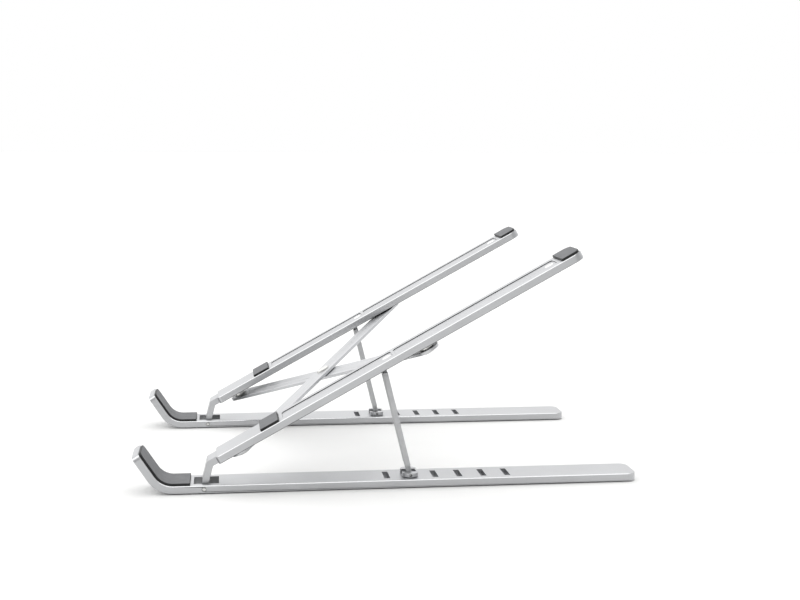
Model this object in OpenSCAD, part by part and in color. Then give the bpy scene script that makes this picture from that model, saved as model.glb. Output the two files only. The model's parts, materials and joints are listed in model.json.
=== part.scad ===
// Folding laptop stand, deployed on its second height notch.
// Two sides, each a hooked base rail and a deck rail hinged above it, tied by a crossed brace.
// +Z is up, the hooks are at -Y, and the origin is the centre of the footprint on the desk.

/* [Overall] */
// Length of a base rail from hook tip to rear end
base_l = 248; // [215:1:300]
// Width over both sides
stand_w = 170.5; // [145:0.5:205]
// Width of every rail
rail_w = 21.7; // [20:0.1:26]
// Thickness of every rail
rail_t = 3.8; // [3.6:0.1:4.6]
// Chamfer along the upper edges of the rails
edge_c = 0.4; // [0.2:0.1:0.8]
// Radius of the corners at the rails' rear ends
corner_r = 5; // [2:0.5:8]

/* [Hook] */
// Angle of the hook arm above the desk
hook_a = 56.5; // [40:0.5:75]
// Length of the hook arm's inner face, from its bend corner to the tip
hook_l = 19.8; // [14:0.2:26]
// Inner radius of the bend
hook_r = 10.6; // [6:0.2:14]
// Radius of the tip's corners
tip_r = 3.6; // [2:0.2:8]
// Bevel across the tip
tip_c = 0.8; // [0.3:0.1:1.2]

/* [Hinge at the front] */
// Distance of the hinge pin from the hook tip
hinge_from_tip = 34; // [32:0.5:44]
// Radius of the hinge pin
hinge_pin_r = 1.1; // [0.8:0.05:1.2]
// Length of the hinge opening in front of the pin
opening_front = 5; // [4.5:0.5:6]
// Length of the hinge opening behind the pin
opening_rear = 7; // [4:0.5:12]
// Width of the gooseneck
neck_w = 12.4; // [9:0.2:14]
// Thickness of the gooseneck
neck_t = 3.4; // [2.8:0.1:3.6]
// Angle between the gooseneck's upright and the deck rail
neck_a = 47; // [40:1:60]
// Height of the gooseneck's top arm over the pin, square to the deck
neck_h = 8.6; // [8:0.1:10]
// Length of the tenon inside the deck rail
tenon_l = 29.8; // [22:0.2:30]

/* [Deck rail] */
// Length of a deck rail
deck_l = 203.4; // [195:1:250]
// Distance along the deck from the hinge pin to the rail
deck_start = 12.2; // [11:0.2:16]
// Height of the rail's underside over the hinge pin, square to the deck
deck_rise = 6.95; // [6.5:0.05:8]
// Skin left above the pockets
skin_t = 1.2; // [0.9:0.1:1.4]
// Depth of the shallow recess in the top face
recess_d = 0.35; // [0.2:0.05:0.5]
// Width of that recess
recess_w = 12.8; // [8:0.2:16]

/* [Height notches] */
// Number of notches in a base rail
notch_n = 6; // [3:1:8]
// Pitch of the notches
notch_pitch = 12; // [9:0.5:14]
// Distance of the first notch behind the hinge pin
notch_first = 89; // [80:1:100]
// Width of a notch across the rail
notch_l = 13.4; // [9:0.2:16]
// Size of a notch along the rail
notch_w = 2.8; // [2.2:0.1:3.2]
// Depth of a notch
notch_d = 2.4; // [1.6:0.1:2.8]
// Notch that the leg stands in, counted from the front
notch_used = 2; // [1:1:3]

/* [Leg] */
// Length of a leg between its two pins
leg_l = 55.7; // [46:0.1:58]
// Width of a leg
leg_w = 11; // [8:0.5:12]
// Thickness of a leg
leg_t = 2.4; // [1.8:0.1:2.4]
// Distance of the upper leg pin along the deck from the hinge pin
leg_at = 104; // [96:0.5:120]
// Height of the upper leg pin inside the rail's underside
leg_pin_in = 1; // [0.8:0.05:1.2]
// Radius of the upper leg pin
leg_pin_r = 0.9; // [0.7:0.05:1]
// Width of the tangs at both ends of a leg
tang_w = 5; // [4:0.2:6]
// Height of the lower leg pin over the base rail
foot_pin_h = 1.2; // [1.2:0.1:2]
// Radius of the lower leg pin
foot_pin_r = 0.65; // [0.5:0.05:0.7]
// Distance of the lower leg pin in front of the notch's middle
foot_set_back = 0.5; // [0.4:0.1:0.6]
// Depth of the toe in the notch
toe_d = 1; // [0.6:0.1:1.2]
// Thickness of the toe
toe_t = 1.1; // [0.9:0.1:1.3]

/* [Foot shoe] */
// Size of the shoe across the rail
shoe_w = 15; // [12:0.5:16]
// Size of the shoe along the rail
shoe_l = 8; // [7.6:0.2:9]
// Thickness of the shoe
shoe_t = 2; // [1.8:0.1:2]
// Rim of the shoe behind its slot
shoe_rim = 0.8; // [0.6:0.1:1.2]

/* [Brace] */
// Distance of the brace's front pivots along the deck from the hinge pin
brace_at = 24.5; // [20:0.5:30]
// Distance along the deck between a brace bar's two ends
brace_run = 102.5; // [96:0.5:110]
// Width of a brace bar
bar_w = 12; // [9:0.5:13]
// Thickness of a brace bar
bar_t = 1.6; // [1.2:0.1:1.8]
// Radius of the studs, the cross rivet and the slider shanks
stud_r = 1.9; // [1.5:0.1:2]
// Radius of their heads under the bars
head_r = 3.5; // [2.8:0.1:4]
// Thickness of those heads
head_t = 1.1; // [0.8:0.1:1.4]
// Radius of the slider's head inside the track
slider_r = 3.6; // [3:0.1:4.5]
// Thickness of the lips that hold the slider
lip_t = 1.15; // [1:0.05:1.3]
// Distance from the end of the track to the end of the deck rail
track_end = 8; // [6:0.5:20]

/* [Pads and feet] */
// Thickness of the silicone pads
pad_t = 1.2; // [0.8:0.1:2]
// Gap between a pad and the side of its rail
pad_inset = 0.55; // [0.5:0.05:2]
// Distance from the hinge pin to the end of the hook pad
hook_pad_gap = 6.6; // [6.2:0.2:8]
// Distance from the tip to the upper end of the hook pad
hook_pad_tip = 0.8; // [0.8:0.2:4]
// Distance of the front deck pad along the deck from the hinge pin
front_pad_at = 37.2; // [34:0.2:44]
// Length of a deck pad
deck_pad_l = 10; // [8:0.5:14]
// Gap between the rear deck pad and the end of the rail
rear_pad_gap = 0.7; // [0.5:0.1:3]
// Length of a front foot
front_foot_l = 9; // [6:0.5:9]
// Length of a rear foot
rear_foot_l = 19; // [10:1:30]
// Distance of the rear foot from the end of the rail
rear_foot_gap = 3; // [2:0.5:12]
// Width of a foot
foot_w = 17.7; // [12:0.1:18]
// How far a foot stands out of the rail
foot_proud = 0.5; // [0.3:0.1:1]
// How deep a foot is let into the rail
foot_sunk = 0.7; // [0.4:0.1:1]

/* [Rivets] */
// Radius of the flush rivet heads in the deck
rivet_head_r = 2.4; // [1.8:0.1:3]
// Radius of the small rivet shanks
rivet_r = 1.2; // [0.8:0.1:1.3]
// Distance of the plug from the end of the deck rail
plug_from_end = 16.1; // [14:0.5:30]

/* [Clearances] */
// Radial clearance of the turning pins and studs
run_gap = 0.05; // [0.03:0.01:0.1]
// Gap between faces that slide past each other
face_gap = 0.15; // [0.1:0.05:0.2]
// Side gap of the tangs, sliders and other loose pieces
side_gap = 0.3; // [0.25:0.05:0.4]

/* [Hidden] */
$fn = 64;

right = 1;
left = -1;
half_span = (stand_w - rail_w) / 2;
eps = 0.01;

// The hook's arm is thinner than its bend by this, and starts inside it, so that they join
seam = 0.02;
seam_overlap = 0.1;

// Small sizes that stay the same
under_c = 0.3;
fit_gap = 0.1;
pin_wall = 0.5;
foot_eye_wall = 0.4;
tang_free = 1.8;
bracket_wall = 1.6;
bracket_proud = 0.4;
opening_side = 0.7;
deck_front_r = 2;
recess_r = 2;
recess_margin = 2;
recess_rib = 1.6;
pad_r = 0.5;
foot_r = 2;

// Heights over the desk
rail_bottom = foot_proud;
rail_top = rail_bottom + rail_t;
hinge_z = rail_top - rail_t / 2;

// Places along the base rail
tip_y = -base_l / 2;
end_y = base_l / 2;
hook_corner_y = tip_y + (hook_l - tip_c) * cos(hook_a) + rail_t * sin(hook_a);
bend_len = hook_r * tan(hook_a / 2);
bend_y = hook_corner_y + bend_len;
arm_l = hook_l - bend_len;
hinge_y = tip_y + hinge_from_tip;
notch_y = hinge_y + notch_first;
foot_y = notch_y + (notch_used - 1) * notch_pitch - foot_set_back;
foot_z = rail_top + foot_pin_h;

// The deck's tilt follows from the triangle of hinge pin, upper leg pin and lower leg pin
leg_pin_b = deck_rise + leg_pin_in;
reach = norm([leg_at, leg_pin_b]);
stance = norm([foot_y - hinge_y, foot_z - hinge_z]);
apex_a = acos((reach * reach + stance * stance - leg_l * leg_l) / (2 * reach * stance));
tilt = apex_a + atan2(foot_z - hinge_z, foot_y - hinge_y) - atan2(leg_pin_b, leg_at);
leg_y = hinge_y + leg_at * cos(tilt) - leg_pin_b * sin(tilt);
leg_z = hinge_z + leg_at * sin(tilt) + leg_pin_b * cos(tilt);
lean = atan2(foot_y - leg_y, leg_z - foot_z);

// Heights square to the deck, from the hinge pin
deck_top = deck_rise + rail_t;
ceiling = deck_top - skin_t;
head_floor = ceiling + skin_t / 3;
deck_end = deck_start + deck_l;
upper_bar_b = deck_rise - 3 * face_gap - bar_t;
lower_bar_b = upper_bar_b - 2 * face_gap - bar_t;
bar_l = norm([2 * half_span, brace_run]);
bar_a = atan2(brace_run, 2 * half_span);

// Leg ends, shoe and their pockets
eye_r = leg_pin_r + pin_wall;
foot_eye_r = foot_pin_r + foot_eye_wall;
neck_corner = neck_h / tan(neck_a);
top_tang_l = eye_r + tang_free;
low_tang_l = shoe_l / 2 + 2 * side_gap;
toe_back = (notch_w / 2 + foot_set_back - run_gap - (foot_pin_h + toe_d) * tan(lean)) * cos(lean);
toe_l = (foot_pin_h + toe_d) / cos(lean) - toe_back * tan(lean);
shoe_pocket_a = leg_at - leg_l - shoe_l / 2 - 2 * side_gap;
shoe_pocket_b = leg_at - leg_l + shoe_l / 2 + 2 * side_gap;
bracket_w = leg_w + 2 * side_gap;
pocket_w = bracket_w + 2 * fit_gap;
bracket_front = leg_at - eye_r - side_gap;
bracket_slot = leg_at + eye_r + side_gap;
bracket_rivet_at = bracket_slot + rivet_r + pin_wall;
bracket_rear = bracket_rivet_at + rivet_r + bracket_wall;
bracket_low = deck_rise - bracket_proud;
track_start = brace_at + brace_run;
recess_split = bracket_rear + pin_wall * 2;
neck_rivet_at = deck_start + tenon_l - 3 * rivet_r;

// ---------- placing ----------

// Puts a piece on one side of the stand
module on_side(side) {
    translate([side * half_span, 0, 0])
        children();
}

// Frame of the deck: origin on the hinge pins' line, +Y along the rails, +Z square to them
module on_deck() {
    translate([0, hinge_y, hinge_z])
        rotate([tilt, 0, 0])
            children();
}

// Frame of a leg: origin at its upper pin, -Z towards the foot
module on_leg() {
    translate([0, leg_y, leg_z])
        rotate([lean, 0, 0])
            children();
}

// Extrudes an outline, drawn in X and Z, from y0 to y1
module along_y(y0, y1) {
    translate([0, y0, 0])
        rotate([90, 0, 0])
            translate([0, 0, y0 - y1])
                linear_extrude(height = y1 - y0)
                    children();
}

// Extrudes an outline, drawn in Y and Z, across the stand
module across(w) {
    rotate([90, 0, 90])
        linear_extrude(height = w, center = true)
            children();
}

// A cylinder across the stand
module cross_pin(r, w) {
    rotate([0, 90, 0])
        cylinder(r = r, h = w, center = true);
}

// Outline of a rail seen from above, with its own corner radius at each end
module plan(w, y0, y1, r0, r1) {
    translate([-w / 2, y0 + r0])
        square([w, y1 - y0 - r0 - r1]);
    translate([-w / 2 + r0, y0])
        square([w - 2 * r0, r0 + eps]);
    translate([-w / 2 + r1, y1 - r1 - eps])
        square([w - 2 * r1, r1 + eps]);
    for (s = [-1, 1]) {
        translate([s * (w / 2 - r0), y0 + r0])
            circle(r = r0);
        translate([s * (w / 2 - r1), y1 - r1])
            circle(r = r1);
    }
}

// Outline with round ends from y0 to y1
module stadium(w, y0, y1) {
    plan(w, y0, y1, w / 2 - eps, w / 2 - eps);
}

// Cross-section of a rail, its upper face at zero, drawn smaller by the inset
module rail_section(inset = 0) {
    w = rail_w / 2 - inset;
    t = rail_t - inset;
    c = edge_c + inset;
    polygon([
        [-w + edge_c, -inset], [w - edge_c, -inset], [w, -c], [w, -t + under_c],
        [w - under_c, -t], [-w + under_c, -t], [-w, -t + under_c], [-w, -c]
    ]);
}

// Cross-section of a pad, lying on a rail's upper face, drawn smaller by the inset
module pad_section(inset = 0) {
    w = rail_w / 2 - pad_inset - inset;
    t = pad_t - inset;
    c = pad_t / 4;
    polygon([[-w, inset], [w, inset], [w, t - c], [w - c, t], [-w + c, t], [-w, t - c]]);
}

// Bends a section around the inside of the hook, from the flat up to the arm
module hook_bend() {
    translate([0, bend_y, rail_top + hook_r])
        rotate([0, 90, 180])
            rotate_extrude(angle = hook_a, $fn = 96)
                translate([hook_r, 0])
                    rotate(90)
                        children();
}

// Frame of the hook arm: origin at the end of the bend, -Y towards the tip, +Z off its inner face
module on_arm() {
    translate([0, bend_y, rail_top + hook_r])
        rotate([-hook_a, 0, 0])
            translate([0, 0, -hook_r])
                children();
}

// ---------- base ----------

module base_rail(side) {
    color("gainsboro")
        on_side(side)
            difference() {
                union() {
                    base_flat();
                    hook_bend()
                        rail_section();
                    hook_arm();
                }
                hinge_opening();
                notches();
                foot_beds();
                translate([0, hinge_y, hinge_z])
                    cross_pin(hinge_pin_r, rail_w + 1);
            }
}

module base_flat() {
    intersection() {
        translate([0, 0, rail_top])
            along_y(bend_y, end_y)
                rail_section();
        linear_extrude(height = rail_top + 1)
            plan(rail_w, bend_y - 1, end_y, eps, corner_r);
    }
}

module hook_arm() {
    on_arm()
        intersection() {
            along_y(-arm_l, seam_overlap)
                rail_section(seam);
            translate([0, 0, -rail_t - 1])
                linear_extrude(height = rail_t + 2)
                    plan(rail_w, -arm_l, 1, tip_r, eps);
            across(rail_w + 2)
                polygon([
                    [1, 1], [1, -rail_t - 1], [-arm_l + tip_c + 1, -rail_t - 1], [-arm_l + tip_c, -rail_t],
                    [-arm_l, -rail_t + tip_c], [-arm_l, -tip_c], [-arm_l + tip_c, 0], [-arm_l + tip_c, 1]
                ]);
        }
}

module hinge_opening() {
    w = neck_w + 2 * opening_side;
    translate([-w / 2, hinge_y - opening_front, 0])
        cube([w, opening_front + opening_rear, rail_top + 1]);
}

module notches() {
    for (i = [0 : notch_n - 1])
        translate([-notch_l / 2, notch_y + i * notch_pitch - notch_w / 2, rail_top - notch_d])
            cube([notch_l, notch_w, notch_d + 1]);
}

module foot_beds() {
    for (p = [front_foot_span(), rear_foot_span()])
        linear_extrude(height = rail_bottom + foot_sunk)
            plan(foot_w, p[0], p[1], foot_r, foot_r);
}

function front_foot_span() =
    [hinge_y - opening_front - 2 * side_gap - front_foot_l, hinge_y - opening_front - 2 * side_gap];
function rear_foot_span() = [end_y - rear_foot_gap - rear_foot_l, end_y - rear_foot_gap];

module foot(side, span) {
    color("dimgray")
        on_side(side)
            linear_extrude(height = foot_proud + foot_sunk)
                plan(foot_w, span[0], span[1], foot_r, foot_r);
}

module hook_pad(side) {
    w = rail_w - 2 * pad_inset;
    r = tip_r - pad_inset;
    pad_end = hinge_y - hook_pad_gap;
    color("gray")
        on_side(side) {
            translate([0, 0, rail_top])
                along_y(bend_y, pad_end)
                    pad_section();
            hook_bend()
                pad_section();
            on_arm()
                intersection() {
                    along_y(-arm_l + hook_pad_tip, seam_overlap)
                        pad_section(seam);
                    linear_extrude(height = pad_t + 1)
                        plan(w, -arm_l + hook_pad_tip, 1, r, eps);
                }
        }
}

module hinge_pin(side) {
    color("silver")
        on_side(side)
            translate([0, hinge_y, hinge_z])
                cross_pin(hinge_pin_r, rail_w - 2 * fit_gap);
}

// ---------- deck ----------

module gooseneck(side) {
    color("lightgray")
        on_deck()
            on_side(side)
                difference() {
                    across(neck_w)
                        neck_outline();
                    cross_pin(hinge_pin_r + run_gap, neck_w + 1);
                    translate([0, brace_at, 0])
                        cylinder(r = stud_r, h = deck_top + 1);
                    neck_rivet_pair(rivet_r, deck_top + 1);
                }
}

module neck_outline() {
    circle(r = neck_t / 2);
    rotate(neck_a)
        translate([0, -neck_t / 2])
            square([neck_h / sin(neck_a), neck_t]);
    translate([neck_corner, neck_h])
        circle(r = neck_t / 2);
    translate([neck_corner, neck_h - neck_t / 2])
        square([deck_start - neck_corner, neck_t]);
    translate([deck_start - 1, deck_rise + run_gap])
        square([tenon_l + 1, ceiling - deck_rise - run_gap]);
}

module neck_rivet_pair(r, top) {
    for (s = [-1, 1])
        translate([s * neck_w / 4, neck_rivet_at, 0])
            cylinder(r = r, h = top);
}

module neck_rivets(side) {
    color("silver")
        on_deck()
            on_side(side)
                translate([0, 0, deck_rise - face_gap])
                    neck_rivet_pair(rivet_r, deck_top - deck_rise + face_gap);
}

module deck_rail(side) {
    color("gainsboro")
        on_deck()
            on_side(side)
                difference() {
                    deck_blank();
                    tenon_channel();
                    leg_pocket();
                    track();
                    top_recess();
                    neck_rivet_pair(rivet_r, deck_top + 1);
                    translate([0, bracket_rivet_at, 0])
                        cylinder(r = rivet_r, h = deck_top + 1);
                    for (y = [bracket_rivet_at, deck_end - plug_from_end])
                        translate([0, y, head_floor])
                            cylinder(r = rivet_head_r, h = skin_t);
                    translate([0, deck_end - plug_from_end, deck_rise + lip_t])
                        cylinder(r = rivet_r, h = skin_t + rail_t);
                }
}

module deck_blank() {
    intersection() {
        translate([0, 0, deck_top])
            along_y(deck_start, deck_end)
                rail_section();
        linear_extrude(height = deck_top + 1)
            plan(rail_w, deck_start, deck_end, deck_front_r, corner_r);
        across(rail_w + 2)
            polygon([
                [deck_start, 0], [deck_end, 0], [deck_end, deck_top - edge_c],
                [deck_end - edge_c, deck_top], [deck_start + edge_c, deck_top],
                [deck_start, deck_top - edge_c]
            ]);
    }
}

module tenon_channel() {
    translate([-neck_w / 2, deck_start - 1, deck_rise - 1])
        cube([neck_w, tenon_l + 1, ceiling - deck_rise + 1]);
}

module leg_pocket() {
    w = shoe_w + 2 * side_gap + 4 * fit_gap;
    translate([-w / 2, shoe_pocket_a, deck_rise - 1])
        cube([w, shoe_pocket_b - shoe_pocket_a, ceiling - deck_rise + 1]);
    translate([-pocket_w / 2, shoe_pocket_b - eps, deck_rise - 1])
        cube([pocket_w, bracket_rear - shoe_pocket_b + eps, ceiling - deck_rise + 1]);
}

// A T-slot that keeps the brace's slider under the skin
module track() {
    lip_w = 2 * (stud_r + side_gap);
    head_w = 2 * (slider_r + side_gap);
    y0 = track_start - side_gap;
    y1 = deck_end - track_end;
    translate([0, 0, deck_rise - 1])
        linear_extrude(height = lip_t + 1 + eps)
            stadium(lip_w, y0 - lip_w / 2, y1 - head_w / 2 + lip_w / 2);
    translate([0, 0, deck_rise + lip_t])
        linear_extrude(height = ceiling - deck_rise - lip_t)
            stadium(head_w, y0 - head_w / 2, y1);
}

module top_recess() {
    spans = [
        [front_pad_at + deck_pad_l + recess_margin, recess_split - recess_rib / 2],
        [recess_split + recess_rib / 2, deck_end - rear_pad_gap - deck_pad_l - recess_margin]
    ];
    for (p = spans)
        translate([0, 0, deck_top - recess_d])
            linear_extrude(height = 1)
                plan(recess_w, p[0], p[1], recess_r, recess_r);
}

module deck_pad(side, y0, r0, r1) {
    color("gray")
        on_deck()
            on_side(side)
                translate([0, 0, deck_top])
                    intersection() {
                        along_y(y0, y0 + deck_pad_l)
                            pad_section();
                        linear_extrude(height = pad_t)
                            plan(rail_w - 2 * pad_inset, y0, y0 + deck_pad_l, r0, r1);
                    }
}

module leg_bracket(side) {
    color("silver")
        on_deck()
            on_side(side)
                difference() {
                    translate([-bracket_w / 2, bracket_front, bracket_low])
                        cube([bracket_w, bracket_rear - bracket_front - fit_gap, ceiling - bracket_low]);
                    translate([-tang_w / 2 - side_gap, bracket_front - 1, 0])
                        cube([tang_w + 2 * side_gap, bracket_slot - bracket_front + 1, deck_top]);
                    translate([0, leg_at, leg_pin_b])
                        cross_pin(leg_pin_r, bracket_w + 1);
                    translate([0, bracket_rivet_at, 0])
                        cylinder(r = rivet_r, h = deck_top);
                }
}

// Flush rivet that holds the leg bracket under the skin
module bracket_rivet(side) {
    color("whitesmoke")
        on_deck()
            on_side(side) {
                translate([0, bracket_rivet_at, bracket_low])
                    cylinder(r = rivet_r, h = head_floor - bracket_low + eps);
                flush_head(bracket_rivet_at);
            }
}

// Plug that closes the hole over the track's rear end
module track_plug(side) {
    color("whitesmoke")
        on_deck()
            on_side(side)
                union() {
                    translate([0, deck_end - plug_from_end, ceiling])
                        cylinder(r = rivet_r, h = head_floor - ceiling + eps);
                    flush_head(deck_end - plug_from_end);
                }
}

// Head that lies in the deck rail's skin, just over the floor of the recess
module flush_head(y) {
    translate([0, y, head_floor])
        cylinder(r = rivet_head_r, h = deck_top - head_floor - recess_d / 2);
}

module leg_pin(side) {
    color("silver")
        on_deck()
            on_side(side)
                translate([0, leg_at, leg_pin_b])
                    cross_pin(leg_pin_r, bracket_w);
}

// ---------- leg ----------

module leg(side) {
    color("lightgray")
        on_leg()
            on_side(side)
                difference() {
                    union() {
                        leg_blade();
                        toe();
                    }
                    cross_pin(leg_pin_r + run_gap, tang_w + 1);
                    translate([0, 0, -leg_l])
                        cross_pin(foot_pin_r + run_gap, tang_w + 1);
                }
}

module leg_blade() {
    span = leg_l - top_tang_l - low_tang_l;
    translate([-leg_w / 2, -leg_t / 2, -top_tang_l - span])
        cube([leg_w, leg_t, span]);
    translate([-tang_w / 2, -leg_t / 2, -leg_l])
        cube([tang_w, leg_t, leg_l]);
    cross_pin(eye_r, tang_w);
    translate([0, 0, -leg_l])
        cross_pin(foot_eye_r, tang_w);
}

module toe() {
    translate([-tang_w / 2, toe_back - toe_t, -leg_l - toe_l])
        cube([tang_w, toe_t, toe_l + pin_wall]);
}

module foot_shoe(side) {
    slot_w = tang_w + 2 * side_gap;
    color("darkgray")
        on_side(side)
            translate([0, foot_y, foot_z])
                difference() {
                    translate([0, 0, -shoe_t / 2])
                        rotate(90)
                            linear_extrude(height = shoe_t)
                                stadium(shoe_l, -shoe_w / 2, shoe_w / 2);
                    translate([-slot_w / 2, -shoe_l, -shoe_t])
                        cube([slot_w, 3 * shoe_l / 2 - shoe_rim, 2 * shoe_t]);
                    cross_pin(foot_pin_r, shoe_w);
                }
}

module shoe_pin(side) {
    color("silver")
        on_side(side)
            translate([0, foot_y, foot_z])
                cross_pin(foot_pin_r, shoe_w - 1);
}

// ---------- brace ----------

// Frame of a brace bar: origin at its front pivot, +X towards its rear end
module on_bar(side) {
    on_deck()
        translate([side * half_span, brace_at, 0])
            rotate(side == right ? 180 - bar_a : bar_a)
                children();
}

module brace_bar(side, b, front_r, mid_r) {
    color("lightgray")
        on_bar(side)
            translate([0, 0, b])
                difference() {
                    linear_extrude(height = bar_t)
                        rotate(-90)
                            stadium(bar_w, -bar_w / 2, bar_l + bar_w / 2);
                    for (p = [[0, front_r], [bar_l / 2, mid_r], [bar_l, stud_r]])
                        translate([p[0], 0, -1])
                            cylinder(r = p[1], h = bar_t + 2);
                }
}

// Fixed in the gooseneck's tenon, the bar turns on it
module brace_stud(side, b) {
    color("silver")
        on_deck()
            translate([side * half_span, brace_at, 0]) {
                translate([0, 0, b - run_gap - head_t])
                    cylinder(r = head_r, h = head_t);
                translate([0, 0, b - run_gap - eps])
                    cylinder(r = stud_r, h = ceiling - b);
                translate([0, 0, b + bar_t + run_gap])
                    cylinder(r = head_r, h = deck_rise - b - bar_t - run_gap);
            }
}

// Riveted to a bar's rear end, its head runs in the other side's track
module slider(side, b) {
    lip_top = deck_rise + lip_t;
    color("silver")
        on_deck()
            translate([side * half_span, track_start, 0]) {
                translate([0, 0, b - head_t])
                    cylinder(r = head_r, h = head_t);
                translate([0, 0, b - eps])
                    cylinder(r = stud_r, h = lip_top + face_gap - b + 2 * eps);
                translate([0, 0, b + bar_t])
                    cylinder(r = head_r, h = deck_rise - face_gap - b - bar_t);
                translate([0, 0, lip_top + face_gap])
                    cylinder(r = slider_r, h = ceiling - lip_top - 2 * face_gap);
            }
}

module cross_rivet() {
    top = upper_bar_b + bar_t + run_gap;
    color("silver")
        on_deck()
            translate([0, brace_at + brace_run / 2, 0]) {
                translate([0, 0, lower_bar_b - head_t])
                    cylinder(r = head_r, h = head_t);
                translate([0, 0, lower_bar_b - eps])
                    cylinder(r = stud_r, h = top - lower_bar_b + 2 * eps);
                translate([0, 0, top])
                    cylinder(r = head_r, h = head_t);
            }
}

module cross_washer() {
    color("white")
        on_deck()
            translate([0, brace_at + brace_run / 2, lower_bar_b + bar_t])
                difference() {
                    cylinder(r = bar_w / 2 - 1, h = 2 * face_gap - run_gap);
                    translate([0, 0, -1])
                        cylinder(r = stud_r, h = 3);
                }
}

// ---------- nodes ----------

rear_pad_at = deck_end - rear_pad_gap - deck_pad_l;
rear_pad_r = corner_r - rear_pad_gap;

base_rail(right);  // right_base_rail
base_rail(left);  // left_base_rail
hook_pad(right);  // right_hook_pad
hook_pad(left);  // left_hook_pad
foot(right, front_foot_span());  // right_front_foot
foot(left, front_foot_span());  // left_front_foot
foot(right, rear_foot_span());  // right_rear_foot
foot(left, rear_foot_span());  // left_rear_foot
hinge_pin(right);  // right_hinge_pin
hinge_pin(left);  // left_hinge_pin
gooseneck(right);  // right_gooseneck
gooseneck(left);  // left_gooseneck
neck_rivets(right);  // right_neck_rivets
neck_rivets(left);  // left_neck_rivets
deck_rail(right);  // right_deck_rail
deck_rail(left);  // left_deck_rail
deck_pad(right, front_pad_at, pad_r, pad_r);  // right_front_pad
deck_pad(left, front_pad_at, pad_r, pad_r);  // left_front_pad
deck_pad(right, rear_pad_at, pad_r, rear_pad_r);  // right_rear_pad
deck_pad(left, rear_pad_at, pad_r, rear_pad_r);  // left_rear_pad
leg_bracket(right);  // right_leg_bracket
leg_bracket(left);  // left_leg_bracket
bracket_rivet(right);  // right_bracket_rivet
bracket_rivet(left);  // left_bracket_rivet
leg_pin(right);  // right_leg_pin
leg_pin(left);  // left_leg_pin
track_plug(right);  // right_track_plug
track_plug(left);  // left_track_plug
brace_stud(right, upper_bar_b);  // right_brace_stud
brace_stud(left, lower_bar_b);  // left_brace_stud
leg(right);  // right_leg
leg(left);  // left_leg
foot_shoe(right);  // right_foot_shoe
foot_shoe(left);  // left_foot_shoe
shoe_pin(right);  // right_shoe_pin
shoe_pin(left);  // left_shoe_pin
brace_bar(right, upper_bar_b, stud_r + run_gap, stud_r + run_gap);  // upper_brace_bar
brace_bar(left, lower_bar_b, stud_r + run_gap, stud_r);  // lower_brace_bar
slider(right, lower_bar_b);  // right_slider
slider(left, upper_bar_b);  // left_slider
cross_rivet();
cross_washer();
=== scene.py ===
import json
import math

import bmesh
import bpy
from mathutils import Matrix, Vector


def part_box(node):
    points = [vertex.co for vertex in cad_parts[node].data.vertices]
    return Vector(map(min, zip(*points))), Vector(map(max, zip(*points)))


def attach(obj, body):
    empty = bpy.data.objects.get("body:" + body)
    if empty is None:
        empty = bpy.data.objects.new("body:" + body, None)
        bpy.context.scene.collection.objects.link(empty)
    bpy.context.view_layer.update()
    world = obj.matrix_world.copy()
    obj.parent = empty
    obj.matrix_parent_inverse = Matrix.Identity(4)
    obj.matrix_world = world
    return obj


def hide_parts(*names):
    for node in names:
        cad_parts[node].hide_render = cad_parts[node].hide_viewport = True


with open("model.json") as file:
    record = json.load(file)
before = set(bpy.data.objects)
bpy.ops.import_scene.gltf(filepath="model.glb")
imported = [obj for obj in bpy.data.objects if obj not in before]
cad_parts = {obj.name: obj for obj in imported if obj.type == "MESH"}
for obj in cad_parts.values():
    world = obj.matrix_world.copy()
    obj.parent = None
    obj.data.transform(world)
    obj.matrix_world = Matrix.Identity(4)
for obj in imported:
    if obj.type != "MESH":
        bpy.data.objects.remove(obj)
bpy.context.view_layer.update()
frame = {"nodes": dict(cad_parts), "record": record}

scene = bpy.context.scene
mm = 0.001
sides = {"right": 1, "left": -1}
bodyOf = {node: body for body, nodes in frame["record"]["behaviour"]["bodies"].items() for node in nodes}

# The deck's directions and the hinge, read from the joints
joints = {joint["name"]: joint for joint in frame["record"]["behaviour"]["joints"]}
deckUp = -Vector(joints["side_spread"]["axis"]).normalized()
deckAlong = deckUp.cross(Vector((1, 0, 0)))
deckTilt = math.atan2(deckAlong.z, deckAlong.y)
hingeAt = Vector(joints["deck_raise"]["pos_m"])
legTop = Vector(joints["right_leg_fold"]["pos_m"])
legFoot = Vector(joints["right_shoe_tilt"]["pos_m"])


# A place on a deck, from the hinge pin: along the rail and square to it, in mm
def onDeck(side, along, height):
    middle = Vector((side * hingeAt.x, hingeAt.y, hingeAt.z))
    return middle + deckAlong * along * mm + deckUp * height * mm


camera = {
    "position": (0.7237, -0.0783, 0.1712),
    "yaw": 7.37,      # degrees from straight along -X, towards +Y
    "pitch": 6.94,    # degrees below the horizon
    "roll": 0.225,
    "lens": 60.8,     # mm
    "sensor": 36,     # mm
    "near": 0.02, "far": 50,
}


def addCamera():
    yaw, pitch, roll = (math.radians(camera[key]) for key in ("yaw", "pitch", "roll"))
    look = Vector((-math.cos(yaw) * math.cos(pitch), math.sin(yaw) * math.cos(pitch), -math.sin(pitch)))
    side = look.cross(Vector((0, 0, 1))).normalized()
    up = side.cross(look)
    turnedSide = math.cos(roll) * side + math.sin(roll) * up
    turnedUp = math.cos(roll) * up - math.sin(roll) * side
    data = bpy.data.cameras.new("camera")
    data.sensor_width = camera["sensor"]
    data.lens = camera["lens"]
    data.clip_start = camera["near"]
    data.clip_end = camera["far"]
    holder = bpy.data.objects.new("camera", data)
    turn = Matrix((turnedSide, turnedUp, -look)).transposed().to_4x4()
    holder.matrix_world = Matrix.Translation(camera["position"]) @ turn
    scene.collection.objects.link(holder)
    scene.camera = holder


addCamera()
print("camera placed")


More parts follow.
